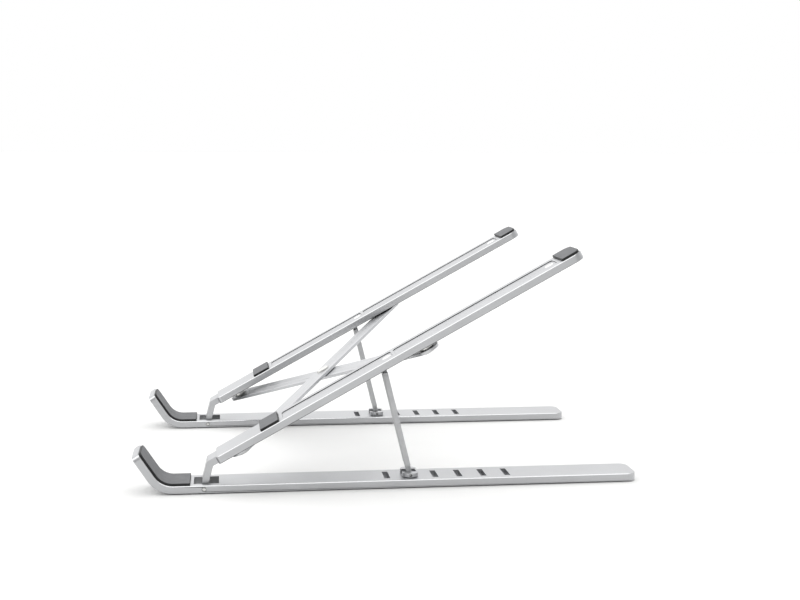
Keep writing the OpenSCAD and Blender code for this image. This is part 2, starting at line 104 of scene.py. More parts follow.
# Sets a node's inputs, and links those that are given as sockets
def setInputs(tree, node, inputs):
    for key, value in inputs.items():
        socket = next((s for s in node.inputs if s.identifier == key), None) or node.inputs[key]
        if isinstance(value, bpy.types.NodeSocket):
            tree.links.new(value, socket)
        else:
            socket.default_value = value


def addNode(tree, kind, inputs=None, **settings):
    node = tree.nodes.new(kind)
    for key, value in settings.items():
        setattr(node, key, value)
    setInputs(tree, node, inputs or {})
    return node


# Adds a Math node on numbers or sockets, and returns its result
def calc(tree, operation, *values):
    return addNode(tree, "ShaderNodeMath", dict(enumerate(values)), operation=operation).outputs[0]


def linear(hexColour):
    parts = [int(hexColour[i:i + 2], 16) / 255 for i in (1, 3, 5)]
    return [c / 12.92 if c <= 0.04045 else ((c + 0.055) / 1.055) ** 2.4 for c in parts] + [1.0]


def newMaterial(name):
    material = bpy.data.materials.new(name)
    material.use_nodes = True
    tree = material.node_tree
    tree.nodes.clear()
    shader = addNode(tree, "ShaderNodeBsdfPrincipled")
    addNode(tree, "ShaderNodeOutputMaterial", {"Surface": shader.outputs["BSDF"]})
    place = addNode(tree, "ShaderNodeTexCoord").outputs["Object"]
    return material, tree, shader, place


# Soft patches of two tones, of a size in mm
def mottle(tree, place, size, colours):
    noise = addNode(tree, "ShaderNodeTexNoise", {"Vector": place, "Scale": 1 / (size * mm), "Detail": 2.0})
    spread = addNode(tree, "ShaderNodeMapRange", {
        "Value": noise.outputs["Fac"], "From Min": 0.3, "From Max": 0.7})
    return addNode(tree, "ShaderNodeMix", {
        "Factor_Float": spread.outputs["Result"],
        "A_Color": linear(colours[0]), "B_Color": linear(colours[1])}, data_type="RGBA").outputs[2]


metals = {
    "blasted": ("#b6b7b9", "#bebfc1"),
    "blastPatch": 25,        # mm, the size of the soft patches in the tone, as in the others below
    "blastGrain": 0.35,      # mm, the true grain is near 0.05 mm and is drawn coarser so that it shows
    "cut": "#e2e3e4",
    "cutPitch": 0.5,         # mm for each radian of the wave, so the cutter's marks lie about 3 mm apart
    "brushed": ("#bdbec0", "#c8c9cb"),
    "brushPatch": 1.5,
    "brushLine": 0.25,       # mm between brush marks, drawn a little coarser than real
    "turned": ("#cfcfcd", "#dededc"),
    "turnedPatch": 2,
    "turnedStreak": 0.4,     # mm
    "polished": "#f2f2f0",
    "polishWave": 1.2,       # mm
    "sprayed": ("#b4b5b7", "#bcbdbe"),
    "sprayPatch": 3,
    "sprayGrain": 0.3,       # mm, the flakes are near 0.03 mm and are drawn coarser so that they show
    # painted shade: dark tones for the shade and dark reflections under the deck rails and on the recess's
    # low walls
    "undersideShadeTones": ("#2e2f31", "#38393b"),
    "undersideShadePatch": 12,
    "millLine": 0.6,         # mm between the die's drag lines, drawn coarser than real
}
wavePhase = 20   # a Wave texture's phase is this many times its scaled place


# Bead-blasted, anodised aluminium: an even silky grey with a fine sparkle and no direction
def anodisedAluminiumBlasted():
    material, tree, shader, place = newMaterial("anodisedAluminiumBlasted")
    grain = addNode(tree, "ShaderNodeTexNoise", {
        "Vector": place, "Scale": 1 / (metals["blastGrain"] * mm),
        "Detail": 3.0, "Roughness": 0.6}).outputs["Fac"]
    gloss = addNode(tree, "ShaderNodeMapRange", {
        "Value": grain, "From Min": 0.3, "From Max": 0.7, "To Min": 0.3, "To Max": 0.42})
    bump = addNode(tree, "ShaderNodeBump", {"Strength": 0.25, "Distance": 0.02 * mm, "Height": grain})
    setInputs(tree, shader, {
        "Base Color": mottle(tree, place, metals["blastPatch"], metals["blasted"]),
        "Roughness": gloss.outputs["Result"], "Normal": bump.outputs["Normal"], "Metallic": 1.0})
    return material


# A painted shade on aluminium: a dark, dull tone for the shade and dark reflections under the deck rails and
# on the recess's low walls, with faint drag lines along the rail
def darkPaintedShadeAluminium():
    material, tree, shader, place = newMaterial("aluminiumUndersidePaintedShade")
    squashed = addNode(tree, "ShaderNodeVectorMath", {
        0: place, 1: (1.0, 0.02, 1.0)}, operation="MULTIPLY").outputs[0]
    drag = addNode(tree, "ShaderNodeTexNoise", {
        "Vector": squashed, "Scale": 1 / (metals["millLine"] * mm), "Detail": 2.0}).outputs["Fac"]
    gloss = addNode(tree, "ShaderNodeMapRange", {"Value": drag, "To Min": 0.42, "To Max": 0.58})
    bump = addNode(tree, "ShaderNodeBump", {"Strength": 0.2, "Distance": 0.02 * mm, "Height": drag})
    setInputs(tree, shader, {
        "Base Color": mottle(tree, place, metals["undersideShadePatch"], metals["undersideShadeTones"]),
        "Roughness": gloss.outputs["Result"], "Normal": bump.outputs["Normal"], "Metallic": 1.0})
    return material


# Aluminium cut with a diamond tool after anodising: bare and bright, with fine marks across the edge
def aluminiumDiamondCut():
    material, tree, shader, place = newMaterial("aluminiumDiamondCut")
    marks = addNode(tree, "ShaderNodeTexWave", {
        "Vector": place, "Scale": 1 / (metals["cutPitch"] * mm * wavePhase),
        "Distortion": 1.5, "Detail": 2.0},
        bands_direction="Y").outputs["Fac"]
    gloss = addNode(tree, "ShaderNodeMapRange", {"Value": marks, "To Min": 0.14, "To Max": 0.24})
    bump = addNode(tree, "ShaderNodeBump", {"Strength": 0.1, "Distance": 0.01 * mm, "Height": marks})
    setInputs(tree, shader, {
        "Base Color": linear(metals["cut"]),
        "Roughness": gloss.outputs["Result"], "Normal": bump.outputs["Normal"], "Metallic": 1.0})
    return material


# Brushed and clear anodised aluminium: short fine lines that run along the piece
def aluminiumBrushed(name, direction):
    material, tree, shader, place = newMaterial(name)
    along = addNode(tree, "ShaderNodeVectorMath", {
        0: place, 1: direction}, operation="DOT_PRODUCT").outputs["Value"]
    back = addNode(tree, "ShaderNodeVectorMath", {0: direction, "Scale": along}, operation="SCALE").outputs[0]
    shrink = addNode(tree, "ShaderNodeVectorMath", {0: back, "Scale": 0.985}, operation="SCALE").outputs[0]
    drawn = addNode(tree, "ShaderNodeVectorMath", {0: place, 1: shrink}, operation="SUBTRACT").outputs[0]
    lines = addNode(tree, "ShaderNodeTexNoise", {
        "Vector": drawn, "Scale": 1 / (metals["brushLine"] * mm),
        "Detail": 4.0, "Roughness": 0.65}).outputs["Fac"]
    gloss = addNode(tree, "ShaderNodeMapRange", {
        "Value": lines, "From Min": 0.3, "From Max": 0.7, "To Min": 0.26, "To Max": 0.4})
    bump = addNode(tree, "ShaderNodeBump", {"Strength": 0.3, "Distance": 0.02 * mm, "Height": lines})
    setInputs(tree, shader, {
        "Base Color": mottle(tree, drawn, metals["brushPatch"], metals["brushed"]),
        "Roughness": gloss.outputs["Result"], "Normal": bump.outputs["Normal"], "Metallic": 1.0})
    return material


# Stainless steel turned on a lathe: even, fairly bright, faintly streaked
def stainlessSteelTurned():
    material, tree, shader, place = newMaterial("stainlessSteelTurned")
    streak = addNode(tree, "ShaderNodeTexNoise", {
        "Vector": place, "Scale": 1 / (metals["turnedStreak"] * mm), "Detail": 2.0})
    gloss = addNode(tree, "ShaderNodeMapRange", {
        "Value": streak.outputs["Fac"], "To Min": 0.16, "To Max": 0.34})
    setInputs(tree, shader, {
        "Base Color": mottle(tree, place, metals["turnedPatch"], metals["turned"]),
        "Roughness": gloss.outputs["Result"], "Metallic": 1.0})
    return material


# Nickel-plated steel, polished: the brightest metal here, with a slight waviness
def nickelPlatedPolished():
    material, tree, shader, place = newMaterial("nickelPlatedPolished")
    wave = addNode(tree, "ShaderNodeTexNoise", {
        "Vector": place, "Scale": 1 / (metals["polishWave"] * mm), "Detail": 1.0})
    gloss = addNode(tree, "ShaderNodeMapRange", {"Value": wave.outputs["Fac"], "To Min": 0.1, "To Max": 0.22})
    setInputs(tree, shader, {
        "Base Color": linear(metals["polished"]), "Roughness": gloss.outputs["Result"], "Metallic": 1.0})
    return material


# Metal sprayed with silver lacquer and baked: an even grey with fine flakes, still grey at a glancing angle
def silverLacquerSprayed():
    material, tree, shader, place = newMaterial("silverLacquerSprayed")
    flakes = addNode(tree, "ShaderNodeTexVoronoi", {
        "Vector": place, "Scale": 1 / (metals["sprayGrain"] * mm)}).outputs["Distance"]
    bump = addNode(tree, "ShaderNodeBump", {"Strength": 0.15, "Distance": 0.01 * mm, "Height": flakes})
    gloss = addNode(tree, "ShaderNodeMapRange", {"Value": flakes, "To Min": 0.5, "To Max": 0.62})
    setInputs(tree, shader, {
        "Base Color": mottle(tree, place, metals["sprayPatch"], metals["sprayed"]),
        "Roughness": gloss.outputs["Result"], "Normal": bump.outputs["Normal"], "IOR": 1.35})
    return material


polymers = {
    "silicone": ("#66676a", "#717274"),
    # painted shade: the pads' sides and undersides, a shaded copy of the rubber
    "siliconeSideShadeTones": ("#161718", "#1e1f20"),
    "siliconeGrain": 0.3,    # mm between the bumps of the moulded skin
    "foot": ("#a4a5a6", "#aeafb0"),
    "footGrain": 0.4,
    "nylon": ("#e6e6e0", "#efefe9"),
    "nylonGrain": 0.5,
    "patch": 4,              # mm, the size of the soft patches in the tone
}


# A moulded polymer: matt, with the fine grain of its mould and a little dust in its tone
def moulded(name, colours, grainSize, roughness):
    material, tree, shader, place = newMaterial(name)
    grain = addNode(tree, "ShaderNodeTexNoise", {
        "Vector": place, "Scale": 1 / (grainSize * mm), "Detail": 2.0}).outputs["Fac"]
    bump = addNode(tree, "ShaderNodeBump", {"Strength": 0.35, "Distance": 0.04 * mm, "Height": grain})
    gloss = addNode(tree, "ShaderNodeMapRange", {
        "Value": grain, "To Min": roughness - 0.08, "To Max": roughness + 0.08})
    setInputs(tree, shader, {
        "Base Color": mottle(tree, place, polymers["patch"], colours),
        "Roughness": gloss.outputs["Result"], "Normal": bump.outputs["Normal"], "IOR": 1.41})
    return material


# Where a brace bar's two ends lie along the deck, in mm
brace = {"front": 24.5, "rear": 127.0}


def barDirection(side):
    return (onDeck(-side, brace["rear"], 0) - onDeck(side, brace["front"], 0)).normalized()


railSkin = anodisedAluminiumBlasted()
cutEdge = aluminiumDiamondCut()
# The deck rails' undersides and recess walls get a painted shade, dark in place of their shade and dark
# reflections
undersidePaintedShade = darkPaintedShadeAluminium()
upperBarSkin = aluminiumBrushed("aluminiumBrushedUpperBar", barDirection(1))
lowerBarSkin = aluminiumBrushed("aluminiumBrushedLowerBar", barDirection(-1))
pinSteel = stainlessSteelTurned()
rivetNickel = nickelPlatedPolished()
lacquer = silverLacquerSprayed()
# Silicone rubber has a soft satin top; its sides, underside and rounded edges are the same rubber with a
# painted shade, nearly black, for the shade beside the lit top
padTop = moulded("siliconeRubberMoulded", polymers["silicone"], polymers["siliconeGrain"], 0.62)
padSidePaintedShade = moulded("siliconeRubberSidePaintedShade", polymers["siliconeSideShadeTones"], polymers["siliconeGrain"], 0.5)
footRubber = moulded("siliconeRubberFoot", polymers["foot"], polymers["footGrain"], 0.6)
washerNylon = moulded("nylonMoulded", polymers["nylon"], polymers["nylonGrain"], 0.4)
print("materials made")


def newPiece(name, mesh, body, slot, replaced, materials=None):
    piece = bpy.data.objects.new(name, mesh)
    scene.collection.objects.link(piece)
    for material in materials or []:
        mesh.materials.append(material)
    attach(piece, body)
    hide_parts(*replaced)
    return piece


# Rounds the piece's sharp edges by a width in mm, in one of its materials, or in those beside the edge for -1
def roundEdges(piece, width, angle=32, material=-1):
    bevel = piece.modifiers.new("roundedEdges", "BEVEL")
    bevel.material = material
    bevel.width = width * mm
    bevel.segments = 3
    bevel.limit_method = "ANGLE"
    bevel.angle_limit = math.radians(angle)
    bevel.use_clamp_overlap = False
    flat = piece.modifiers.new("flatFaces", "WEIGHTED_NORMAL")
    flat.keep_sharp = True


cleanUp = {
    "merge": 0.04, "sliver": 0.002,   # mm
    "flat": 0.6, "sharp": 32,         # degrees between faces
    "mostCorners": 8,                 # a face with more is cut up, as the bevel shades it wrongly
}


# A copy of a CAD node with its triangles merged into faces and its edges rounded.
# pick gives the number of a face's material in the list.
def softened(node, slot, width, materials, pick=None):
    mesh = frame["nodes"][node].data.copy()
    mesh.materials.clear()
    work = bmesh.new()
    work.from_mesh(mesh)
    bmesh.ops.remove_doubles(work, verts=work.verts, dist=cleanUp["merge"] * mm)
    bmesh.ops.dissolve_degenerate(work, dist=cleanUp["sliver"] * mm, edges=work.edges)
    bmesh.ops.dissolve_limit(
        work, angle_limit=math.radians(cleanUp["flat"]), verts=work.verts, edges=work.edges)
    bmesh.ops.triangulate(
        work, faces=[face for face in work.faces if len(face.verts) > cleanUp["mostCorners"]])
    for face in work.faces:
        face.smooth = True
        face.material_index = pick(face) if pick else 0
    work.to_mesh(mesh)
    work.free()
    mesh.set_sharp_from_angle(angle=math.radians(cleanUp["sharp"]))
    made = newPiece("soft_" + node, mesh, bodyOf[node], slot, [node], materials)
    roundEdges(made, width)
    return made


rails = {
    "roundEdge": 0.1,                                          # mm
    "cutSideways": (0.55, 0.85), "cutUp": 0.3, "cutFront": -0.4,   # how a cut edge's face looks, of 1
    "wall": 0.3, "under": -0.5,                                # how far up a wall and the underside look
    "deckTop": 10.75, "recessDepth": 0.35, "recessReach": 7,   # mm, the top being over the hinge pin
}


# The bevel along a rail's upper edges looks half sideways and half up, the underside looks down,
# and the recess's low walls stand upright just under the deck's top; the underside and these walls take the
# third material, which is the painted shade on the deck rails
def railFaces(up):
    low, high = rails["cutSideways"]

    def pick(face):
        rise = face.normal.dot(up)
        if low < abs(face.normal.x) < high and rise > rails["cutUp"] and face.normal.y > rails["cutFront"]:
            return 1
        middle = face.calc_center_median()
        height = (middle - hingeAt).dot(up) / mm - rails["deckTop"]
        inner = abs(abs(middle.x) - hingeAt.x) < rails["recessReach"] * mm
        if abs(rise) < rails["wall"] and inner and -rails["recessDepth"] < height < 0:
            return 2
        return 2 if rise < rails["under"] else 0

    return pick


for side in sides:
    softened(side + "_base_rail", "satin_aluminium", rails["roundEdge"], [railSkin, cutEdge, railSkin],
             railFaces(Vector((0, 0, 1))))
    # On the deck rails the third material is the painted shade
    softened(side + "_deck_rail", "satin_aluminium", rails["roundEdge"], [railSkin, cutEdge, undersidePaintedShade],
             railFaces(deckUp))
print("rails softened")

# The slot, the width of the rounding in mm and the material of the fittings that come in pairs
fittings = {
    "gooseneck": ("satin_aluminium", 0.2, railSkin),
    "leg_bracket": ("bead_blasted_zinc", 0.08, railSkin),
    "leg": ("leg_aluminium", 0.15, lacquer),
    "foot_shoe": ("shoe_zinc", 0.12, railSkin),
    "front_foot": ("foot_rubber", 0.15, footRubber),
    "rear_foot": ("foot_rubber", 0.15, footRubber),
}
for side in sides:
    for part, (slot, width, material) in fittings.items():
        softened(side + "_" + part, slot, width, [material])
softened("upper_brace_bar", "brace_aluminium", 0.2, [upperBarSkin])
softened("lower_brace_bar", "brace_aluminium", 0.2, [lowerBarSkin])
softened("cross_washer", "nylon_washer", 0.08, [washerNylon])
print("fittings softened")


def newTree(name, sockets):
    tree = bpy.data.node_groups.new(name, "GeometryNodeTree")
    tree.interface.new_socket("Geometry", in_out="INPUT", socket_type="NodeSocketGeometry")
    for label, kind in sockets.items():
        tree.interface.new_socket(label, in_out="INPUT", socket_type="NodeSocket" + kind)
    tree.interface.new_socket("Geometry", in_out="OUTPUT", socket_type="NodeSocketGeometry")
    return tree, addNode(tree, "NodeGroupInput").outputs


# Runs a tree on a mesh and returns the plain mesh that it makes
def grow(name, mesh, tree, values):
    seed = bpy.data.objects.new(name + "Seed", mesh)
    scene.collection.objects.link(seed)
    modifier = seed.modifiers.new("grow", "NODES")
    modifier.node_group = tree
    for item in tree.interface.items_tree:
        if item.in_out == "INPUT" and item.name in values:
            modifier[item.identifier] = values[item.name]
    ready = seed.evaluated_get(bpy.context.evaluated_depsgraph_get())
    made = bpy.data.meshes.new_from_object(ready)
    seed.modifiers.remove(modifier)
    bpy.data.objects.remove(seed)
    made.name = name
    work = bmesh.new()
    work.from_mesh(made)
    bmesh.ops.recalc_face_normals(work, faces=work.faces)
    work.to_mesh(made)
    work.free()
    return made


slabColumns = 15
weld = 0.01   # mm, within which the slab's skins join


# A slab that follows the rail: flat behind the bend, then round the hook and up its arm.
# Points are laid out flat first, Y being the way along the path, and then wrapped.
def slabTree():
    tree, given = newTree("slabAlongRail", {
        "Width": "Float", "Flat": "Float", "Total": "Float", "Thickness": "Float", "Radius": "Float",
        "Angle": "Float", "Corner Front": "Float", "Corner Rear": "Float", "Pivot": "Vector", "Tilt": "Float",
        "Steps": "Int", "Top": "Material", "Side": "Material"})
    grid = addNode(tree, "GeometryNodeMeshGrid", {
        "Size X": given["Width"], "Size Y": given["Total"],
        "Vertices X": slabColumns, "Vertices Y": given["Steps"]})
    raised = addNode(tree, "GeometryNodeExtrudeMesh", {
        "Mesh": grid.outputs["Mesh"], "Offset Scale": given["Thickness"], "Individual": False})
    topped = addNode(tree, "GeometryNodeSetMaterial", {
        "Geometry": raised.outputs["Mesh"], "Material": given["Top"]})
    sided = addNode(tree, "GeometryNodeSetMaterial", {
        "Geometry": topped.outputs[0], "Selection": raised.outputs["Side"], "Material": given["Side"]})
    under = addNode(tree, "GeometryNodeFlipFaces", {"Mesh": grid.outputs["Mesh"]})
    underDone = addNode(tree, "GeometryNodeSetMaterial", {
        "Geometry": under.outputs[0], "Material": given["Side"]})
    both = addNode(tree, "GeometryNodeJoinGeometry")
    tree.links.new(sided.outputs[0], both.inputs[0])
    tree.links.new(underDone.outputs[0], both.inputs[0])
    closed = addNode(tree, "GeometryNodeMergeByDistance", {
        "Geometry": both.outputs[0], "Distance": weld * mm})

    position = addNode(tree, "GeometryNodeInputPosition").outputs[0]
    xyz = addNode(tree, "ShaderNodeSeparateXYZ", {0: position}).outputs
    half = calc(tree, "MULTIPLY", given["Width"], 0.5)
    halfTotal = calc(tree, "MULTIPLY", given["Total"], 0.5)
    across = xyz["X"]
    for corner, sign in (("Corner Front", -1.0), ("Corner Rear", 1.0)):
        # How far the end's round corner cuts in at this distance from the end
        away = calc(tree, "MULTIPLY_ADD", xyz["Y"], sign, halfTotal)
        short = calc(tree, "SUBTRACT", given[corner], away)
        inside = calc(tree, "MAXIMUM", short, 0.0)
        square = calc(tree, "POWER", inside, 2.0)
        full = calc(tree, "POWER", given[corner], 2.0)
        rest = calc(tree, "SUBTRACT", full, square)
        kept = calc(tree, "SQRT", calc(tree, "MAXIMUM", rest, 0.0))
        cut = calc(tree, "SUBTRACT", given[corner], kept)
        part = calc(tree, "DIVIDE", cut, half)
        share = calc(tree, "SUBTRACT", 1.0, part)
        across = calc(tree, "MULTIPLY", across, share)

    shift = calc(tree, "SUBTRACT", halfTotal, given["Flat"])
    path = calc(tree, "ADD", xyz["Y"], shift)
    arc = calc(tree, "DIVIDE", path, given["Radius"])
    turn = addNode(tree, "ShaderNodeClamp", {"Value": arc, "Min": 0.0, "Max": given["Angle"]}).outputs[0]
    curved = calc(tree, "MULTIPLY", turn, given["Radius"])
    straight = calc(tree, "SUBTRACT", curved, path)
    sunk = calc(tree, "SUBTRACT", xyz["Z"], given["Radius"])
    local = addNode(tree, "ShaderNodeCombineXYZ", {"X": across, "Y": straight, "Z": sunk}).outputs[0]
    back = calc(tree, "SUBTRACT", given["Tilt"], turn)
    bent = addNode(tree, "ShaderNodeVectorRotate", {
        "Vector": local, "Angle": back}, rotation_type="X_AXIS").outputs[0]
    placed = addNode(tree, "ShaderNodeVectorMath", {0: bent, 1: given["Pivot"]}, operation="ADD").outputs[0]
    wrapped = addNode(tree, "GeometryNodeSetPosition", {"Geometry": closed.outputs[0], "Position": placed})
    smooth = addNode(tree, "GeometryNodeSetShadeSmooth", {"Geometry": wrapped.outputs[0]})
    solid = addNode(tree, "GeometryNodeRealizeInstances", {"Geometry": smooth.outputs[0]})
    addNode(tree, "NodeGroupOutput", {0: solid.outputs[0]})
    return tree


# Radii, corners and steps of the pads in mm, and the hook's angle in degrees
hookPad = {
    "bendRadius": 10.6, "hookAngle": 56.5, "thickness": 1.2,
    "tipCorner": 3.05, "rootCorner": 0.3, "roundEdge": 0.3, "step": 0.45,
}
deckPad = {"thickness": 1.2, "corner": 0.5, "rearCorner": 4.3, "roundEdge": 0.3, "step": 0.35}
padEdges = {"sharp": 40, "bevelFrom": 50}   # degrees between faces
slab = slabTree()


def makePad(node, values, roundEdge, step):
    values["Steps"] = int(values["Total"] / (step * mm)) + 1
    values["Top"] = padTop
    # The sides, underside and rounded edges take the painted shade
    values["Side"] = padSidePaintedShade
    mesh = grow("pad_" + node, bpy.data.meshes.new("seed"), slab, values)
    piece = newPiece("pad_" + node, mesh, bodyOf[node], "grey_silicone", [node])
    mesh.set_sharp_from_angle(angle=math.radians(padEdges["sharp"]))
    roundEdges(piece, roundEdge, padEdges["bevelFrom"], mesh.materials.find(padSidePaintedShade.name))


# The bend's place follows from the pad's own box
for side in sides:
    low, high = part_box(side + "_hook_pad")
    bend, angle = hookPad["bendRadius"] * mm, math.radians(hookPad["hookAngle"])
    thick = hookPad["thickness"] * mm
    climb = high.z - low.z - bend * (1 - math.cos(angle)) - thick * math.cos(angle)
    arm = climb / math.sin(angle)
    bendY = low.y + bend * math.sin(angle) + arm * math.cos(angle)
    makePad(side + "_hook_pad", {
        "Width": high.x - low.x, "Flat": high.y - bendY, "Total": high.y - bendY + bend * angle + arm,
        "Thickness": thick, "Radius": bend, "Angle": angle, "Tilt": 0.0,
        "Corner Front": hookPad["tipCorner"] * mm, "Corner Rear": hookPad["rootCorner"] * mm,
        "Pivot": ((low.x + high.x) / 2, bendY, low.z + bend)}, hookPad["roundEdge"], hookPad["step"])
    for part, corner in (("_front_pad", deckPad["corner"]), ("_rear_pad", deckPad["rearCorner"])):
        low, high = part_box(side + part)
        thick = deckPad["thickness"] * mm
        length = (high.y - low.y - thick * math.sin(deckTilt)) / math.cos(deckTilt)
        foot = Vector(((low.x + high.x) / 2, low.y + thick * math.sin(deckTilt), low.z))
        flat = 1 * mm   # the wrap's radius only shifts the slab here, as its angle is 0
        makePad(side + part, {
            "Width": high.x - low.x, "Flat": length, "Total": length, "Thickness": thick,
            "Radius": flat, "Angle": 0.0, "Tilt": deckTilt, "Corner Front": deckPad["corner"] * mm,
            "Corner Rear": corner * mm, "Pivot": foot + deckUp * flat},
            deckPad["roundEdge"], deckPad["step"])
print("pads wrapped")


buttonShape = {"around": 32, "rows": 9, "sharp": 60, "weld": 0.001}   # the weld is a part of the radius


# Round buttons on points: each point holds its button's radius, height and turn.
# The button is a dome on a flat base, squarer the higher its exponent.
def buttonTree():
    tree, given = newTree("turnedButtons", {"Squareness": "Float", "Metal": "Material"})
    grid = addNode(tree, "GeometryNodeMeshGrid", {
        "Size X": 1.0, "Size Y": 1.0,
        "Vertices X": buttonShape["around"] + 1, "Vertices Y": buttonShape["rows"]})
    position = addNode(tree, "GeometryNodeInputPosition").outputs[0]
    xyz = addNode(tree, "ShaderNodeSeparateXYZ", {0: position}).outputs
    turn = calc(tree, "MULTIPLY", xyz["X"], math.tau)
    rise = addNode(tree, "ShaderNodeMapRange", {
        "Value": xyz["Y"], "From Min": -0.5, "From Max": 0.5, "To Max": math.pi / 2}).outputs[0]
    power = calc(tree, "DIVIDE", 2.0, given["Squareness"])
    profile = []
    for wave in ("COSINE", "SINE"):
        value = calc(tree, wave, rise)
        kept = calc(tree, "MAXIMUM", value, 0.0)
        profile.append(calc(tree, "POWER", kept, power))
    sweep = []
    for wave in ("COSINE", "SINE"):
        value = calc(tree, wave, turn)
        sweep.append(calc(tree, "MULTIPLY", value, profile[0]))
    place = addNode(tree, "ShaderNodeCombineXYZ", {"X": sweep[0], "Y": sweep[1], "Z": profile[1]}).outputs[0]
    dome = addNode(tree, "GeometryNodeSetPosition", {"Geometry": grid.outputs["Mesh"], "Position": place})
    base = addNode(tree, "GeometryNodeMeshCircle", {
        "Vertices": buttonShape["around"], "Radius": 1.0}, fill_type="NGON")
    both = addNode(tree, "GeometryNodeJoinGeometry")
    tree.links.new(dome.outputs[0], both.inputs[0])
    tree.links.new(base.outputs[0], both.inputs[0])
    closed = addNode(tree, "GeometryNodeMergeByDistance", {
        "Geometry": both.outputs[0], "Distance": buttonShape["weld"]})
    size = addNode(tree, "GeometryNodeInputNamedAttribute", {"Name": "size"}, data_type="FLOAT_VECTOR")
    way = addNode(tree, "GeometryNodeInputNamedAttribute", {"Name": "turn"}, data_type="FLOAT_VECTOR")
    euler = addNode(tree, "FunctionNodeEulerToRotation", {0: way.outputs["Attribute"]})
    spread = addNode(tree, "GeometryNodeInstanceOnPoints", {
        "Points": given["Geometry"], "Instance": closed.outputs[0],
        "Rotation": euler.outputs[0], "Scale": size.outputs["Attribute"]})
    solid = addNode(tree, "GeometryNodeRealizeInstances", {"Geometry": spread.outputs[0]})
    smooth = addNode(tree, "GeometryNodeSetShadeSmooth", {"Geometry": solid.outputs[0]})
    done = addNode(tree, "GeometryNodeSetMaterial", {
        "Geometry": smooth.outputs[0], "Material": given["Metal"]})
    addNode(tree, "NodeGroupOutput", {0: done.outputs[0]})
    return tree


buttons = buttonTree()
up = (deckTilt, 0.0, 0.0)
down = (deckTilt + math.pi, 0.0, 0.0)


# Each stack is a list of (place, turn, radius, height), with sizes in mm
def makeButtons(name, stack, body, slot, replaced, metal, squareness=4.0):
    points = bpy.data.meshes.new(name + "Points")
    points.from_pydata([place for place, _, _, _ in stack], [], [])
    size = points.attributes.new("size", "FLOAT_VECTOR", "POINT")
    size.data.foreach_set("vector", [v * mm for _, _, r, h in stack for v in (r, r, h)])
    turn = points.attributes.new("turn", "FLOAT_VECTOR", "POINT")
    turn.data.foreach_set("vector", [v for _, way, _, _ in stack for v in way])
    mesh = grow(name, points, buttons, {"Squareness": squareness, "Metal": metal})
    mesh.set_sharp_from_angle(angle=math.radians(buttonShape["sharp"]))
    newPiece(name, mesh, body, slot, replaced)


# Heights over the hinge pin, then radii, places along the deck and gaps, all in mm
stack = {
    "railUnder": 6.95, "railCeiling": 9.55, "headFloor": 9.95, "discTop": 10.57,
    "upperBar": 4.9, "lowerBar": 3.0, "bar": 1.6, "lip": 1.15, "headHeight": 1.1,
    "shank": 1.9, "head": 3.5, "sliderHead": 3.6, "disc": 2.4, "small": 1.2,
    "crossAt": 75.75, "bracketDisc": 107.4, "plugDisc": 199.5,
    "neckRivets": 38.4, "neckRivetGap": 3.1, "neckRivetDome": 0.05,
    "bracketShank": 3.8,   # ends 0.3 mm below the bracket
    "sunk": 0.1,           # how far a shank starts inside its head
    "shankOver": 0.5,      # how much longer it is than the bar is thick
    "slack": 0.05,         # between a bar and the heads beside it
    "slideGap": 0.15,      # between the slider's heads and the rail's lips
}


# Parts of a stud or slider that holds a bar whose underside is at the given height
def heldBar(side, along, bar, topEnd):
    s = stack
    return [
        (onDeck(side, along, bar - s["slack"]), down, s["head"], s["headHeight"]),
        (onDeck(side, along, bar - s["sunk"]), up, s["shank"], s["bar"] + s["shankOver"]),
        (onDeck(side, along, bar + s["bar"] + s["slack"]), up,
         s["head"], topEnd - bar - s["bar"] - s["slack"]),
    ]


for side, sign in sides.items():
    s = stack
    bar = s["upperBar"] if side == "right" else s["lowerBar"]
    rivets = [Vector((x * s["neckRivetGap"] * mm, 0, 0)) for x in (-1, 1)]
    makeButtons("stud_" + side, heldBar(sign, brace["front"], bar, s["railUnder"]) + [
        (onDeck(sign, s["neckRivets"], s["railUnder"] - s["sunk"]) + shift, down,
         s["small"], s["neckRivetDome"]) for shift in rivets] + [
        (onDeck(sign, s["neckRivets"], s["railCeiling"]) + shift, up,
         s["small"], rails["deckTop"] - s["railCeiling"]) for shift in rivets],
        side + "_deck", "steel_pin", [side + "_brace_stud", side + "_neck_rivets"], pinSteel)
    makeButtons("discs_" + side, [
        (onDeck(sign, at, s["headFloor"]), up, s["disc"], s["discTop"] - s["headFloor"])
        for at in (s["bracketDisc"], s["plugDisc"])] + [
        (onDeck(sign, s["bracketDisc"], s["headFloor"] + s["sunk"]), down, s["small"], s["bracketShank"])],
        side + "_deck", "polished_rivet", [side + "_bracket_rivet", side + "_track_plug"], rivetNickel, 6.0)


def makeSlider(body, bar, side):
    s = stack
    rail, gap, sign = s["railUnder"], s["slideGap"], sides[side]
    held = heldBar(sign, brace["rear"], bar, rail - gap)
    held.append((onDeck(sign, brace["rear"], rail - 2 * gap), up, s["shank"], s["lip"] + 4 * gap))
    held.append((onDeck(sign, brace["rear"], rail + s["lip"] + gap), up, s["sliderHead"],
                 s["railCeiling"] - rail - s["lip"] - 2 * gap))
    makeButtons("slider_" + side, held, body, "steel_pin", [side + "_slider"], pinSteel)


makeSlider("upper_bar", stack["upperBar"], "left")
makeSlider("lower_bar", stack["lowerBar"], "right")
crossTop = stack["upperBar"] + stack["bar"] + stack["slack"]
makeButtons("crossRivet", [
    (onDeck(0, stack["crossAt"], stack["lowerBar"]), down, stack["head"], stack["headHeight"]),
    (onDeck(0, stack["crossAt"], stack["lowerBar"] - stack["sunk"]), up, stack["shank"],
     crossTop - stack["lowerBar"] + 2 * stack["sunk"]),
    (onDeck(0, stack["crossAt"], crossTop), up, stack["head"], stack["headHeight"]),
], "lower_bar", "steel_pin", ["cross_rivet"], pinSteel)

